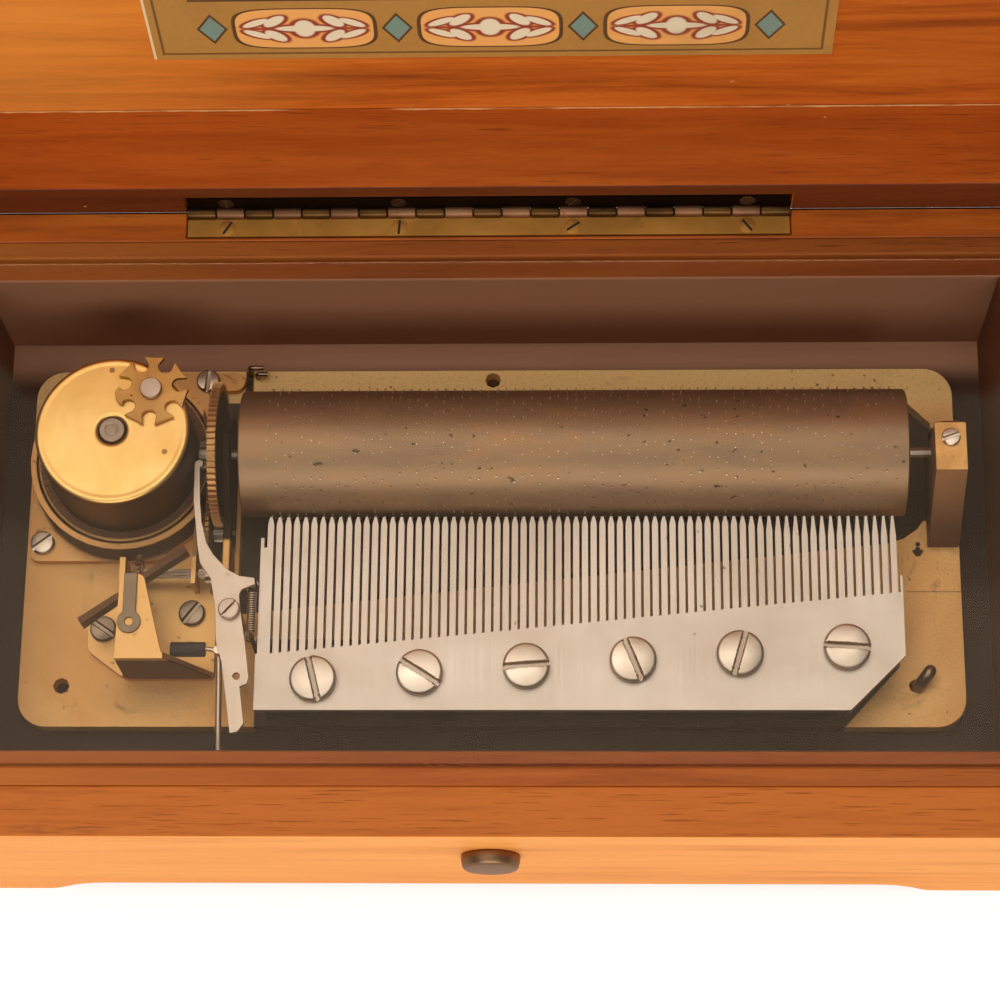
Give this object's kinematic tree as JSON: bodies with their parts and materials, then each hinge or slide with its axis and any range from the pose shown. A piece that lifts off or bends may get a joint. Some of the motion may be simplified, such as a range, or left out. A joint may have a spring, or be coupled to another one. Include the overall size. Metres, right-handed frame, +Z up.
{
  "type": "cylinder music box",
  "caption": "Wooden box with a hinged lid and a lift-out glass cover over a pinned cylinder, a steel comb, a spring barrel and an air-braked governor.",
  "frame": {"origin": "middle of the outer bounding box, at the height of the feet, with the lid open", "axes": "+Z up, +X to the right and +Y to the back for someone in front of the box, the cylinder's axis along X"},
  "size_m": [0.1996, 0.1406, 0.1471],
  "materials": {
    "walnut": "satin varnish over straight-grained light brown wood",
    "case_wood": "satin varnish over reddish brown wood",
    "dark_wood": "matt dark stain",
    "clear_glass": "clear sheet",
    "brass": "aged, satin",
    "polished_brass": "turned and polished",
    "dark_bronze": "dark, patinated",
    "comb_steel": "finely ground",
    "bright_steel": "bright",
    "blue_steel": "tempered strip",
    "rubber": "matt",
    "card": "printed paper, aged"
  },
  "bodies": {
    "case": {"front_wall": "walnut", "back_wall": "case_wood", "left_wall": "case_wood", "right_wall": "case_wood", "bottom_panel": "dark_wood", "front_lining": "dark_wood", "back_lining": "dark_wood", "left_lining": "dark_wood", "right_lining": "dark_wood", "hinge_case_leaf": "brass", "hinge_pin": "dark_bronze", "bedplate": "brass", "comb_base": "brass", "comb": "comb_steel", "comb_screw_1": "bright_steel", "comb_screw_2": "bright_steel", "comb_screw_3": "bright_steel", "comb_screw_4": "bright_steel", "comb_screw_5": "bright_steel", "comb_screw_6": "bright_steel", "right_bracket": "brass", "bracket_screw": "bright_steel", "side_cock": "brass", "barrel_base": "brass", "barrel_base_screw_1": "bright_steel", "barrel_base_screw_2": "bright_steel", "governor_frame": "brass", "governor_strap": "bright_steel", "governor_screw_1": "bright_steel", "governor_screw_2": "bright_steel", "locating_pin": "bright_steel", "lever_post": "bright_steel"},
    "lid": {"lid_panel": "case_wood", "lid_front_rail": "case_wood", "lid_back_rail": "case_wood", "lid_left_rail": "case_wood", "lid_right_rail": "case_wood", "tune_card": "card", "hinge_lid_leaf": "dark_bronze"},
    "glass": {"glass_cover": "clear_glass"},
    "cylinder": {"cylinder_shell": "dark_bronze", "cylinder_arbor": "bright_steel", "great_wheel": "brass"},
    "barrel": {"barrel_shell": "polished_brass", "barrel_wheel": "brass", "mainspring": "blue_steel", "geneva_screw": "bright_steel"},
    "geneva": {"geneva_cross": "brass"},
    "winding": {"winding_arbor": "brass", "winding_key": "bright_steel"},
    "first_arbor": {"first_arbor": "bright_steel", "first_wheel": "brass"},
    "second_arbor": {"second_arbor": "brass"},
    "fly": {"fly_screw": "bright_steel"},
    "stop_lever": {"stop_lever": "bright_steel", "stop_wire": "bright_steel", "brake_sleeve": "rubber", "lever_spring": "bright_steel"},
    "stop_knob": {"stop_knob": "dark_bronze"}
  },
  "joints": [
    {"name": "lid_hinge", "type": "hinge", "parent": "case", "child": "lid", "pos_m": [0, 0.03927, 0.04035], "axis": [-1, 0, 0], "range_deg": [-95, 0]},
    {"name": "glass_lift", "type": "slide", "parent": "case", "child": "glass", "axis": [0, 0, 1], "range_m": [0, 0.03]},
    {"name": "cylinder_spin", "type": "hinge", "parent": "case", "child": "cylinder", "pos_m": [0, 0.00235, 0.0226], "axis": [1, 0, 0], "continuous": true},
    {"name": "barrel_spin", "type": "hinge", "parent": "case", "child": "barrel", "pos_m": [-0.0626, 0.00235, 0.0256], "axis": [0, 0, 1], "continuous": true},
    {"name": "first_arbor_spin", "type": "hinge", "parent": "case", "child": "first_arbor", "pos_m": [-0.047, -0.00973, 0.0166], "axis": [1, 0, 0], "continuous": true},
    {"name": "second_arbor_spin", "type": "hinge", "parent": "case", "child": "second_arbor", "pos_m": [-0.053, -0.01753, 0.018], "axis": [1, 0, 0], "continuous": true},
    {"name": "fly_spin", "type": "hinge", "parent": "case", "child": "fly", "pos_m": [-0.0594, -0.02153, 0.0206], "axis": [0, 0, 1], "continuous": true},
    {"name": "geneva_step", "type": "hinge", "parent": "barrel", "child": "geneva", "pos_m": [-0.05615, 0.00912, 0.03535], "axis": [0, 0, 1], "range_deg": [0, 308]},
    {"name": "winding_turn", "type": "hinge", "parent": "case", "child": "winding", "pos_m": [-0.0626, 0.00235, 0.0036], "axis": [0, 0, 1], "continuous": true},
    {"name": "stop_knob_slide", "type": "slide", "parent": "case", "child": "stop_knob", "axis": [1, 0, 0], "range_m": [-0.0012, 0]},
    {"name": "stop_lever_turn", "type": "hinge", "parent": "case", "child": "stop_lever", "pos_m": [-0.0428, -0.02643, 0.0256], "axis": [0, 0, 1], "range_deg": [-2.2, 0]}
  ],
  "couplings": [
    {"joint": "barrel_spin", "follows": "cylinder_spin", "ratio": 0.13889},
    {"joint": "first_arbor_spin", "follows": "cylinder_spin", "ratio": -9},
    {"joint": "second_arbor_spin", "follows": "cylinder_spin", "ratio": 45},
    {"joint": "fly_spin", "follows": "cylinder_spin", "ratio": 1080},
    {"joint": "stop_lever_turn", "follows": "stop_knob_slide", "rad_per_m": 31.056}
  ]
}
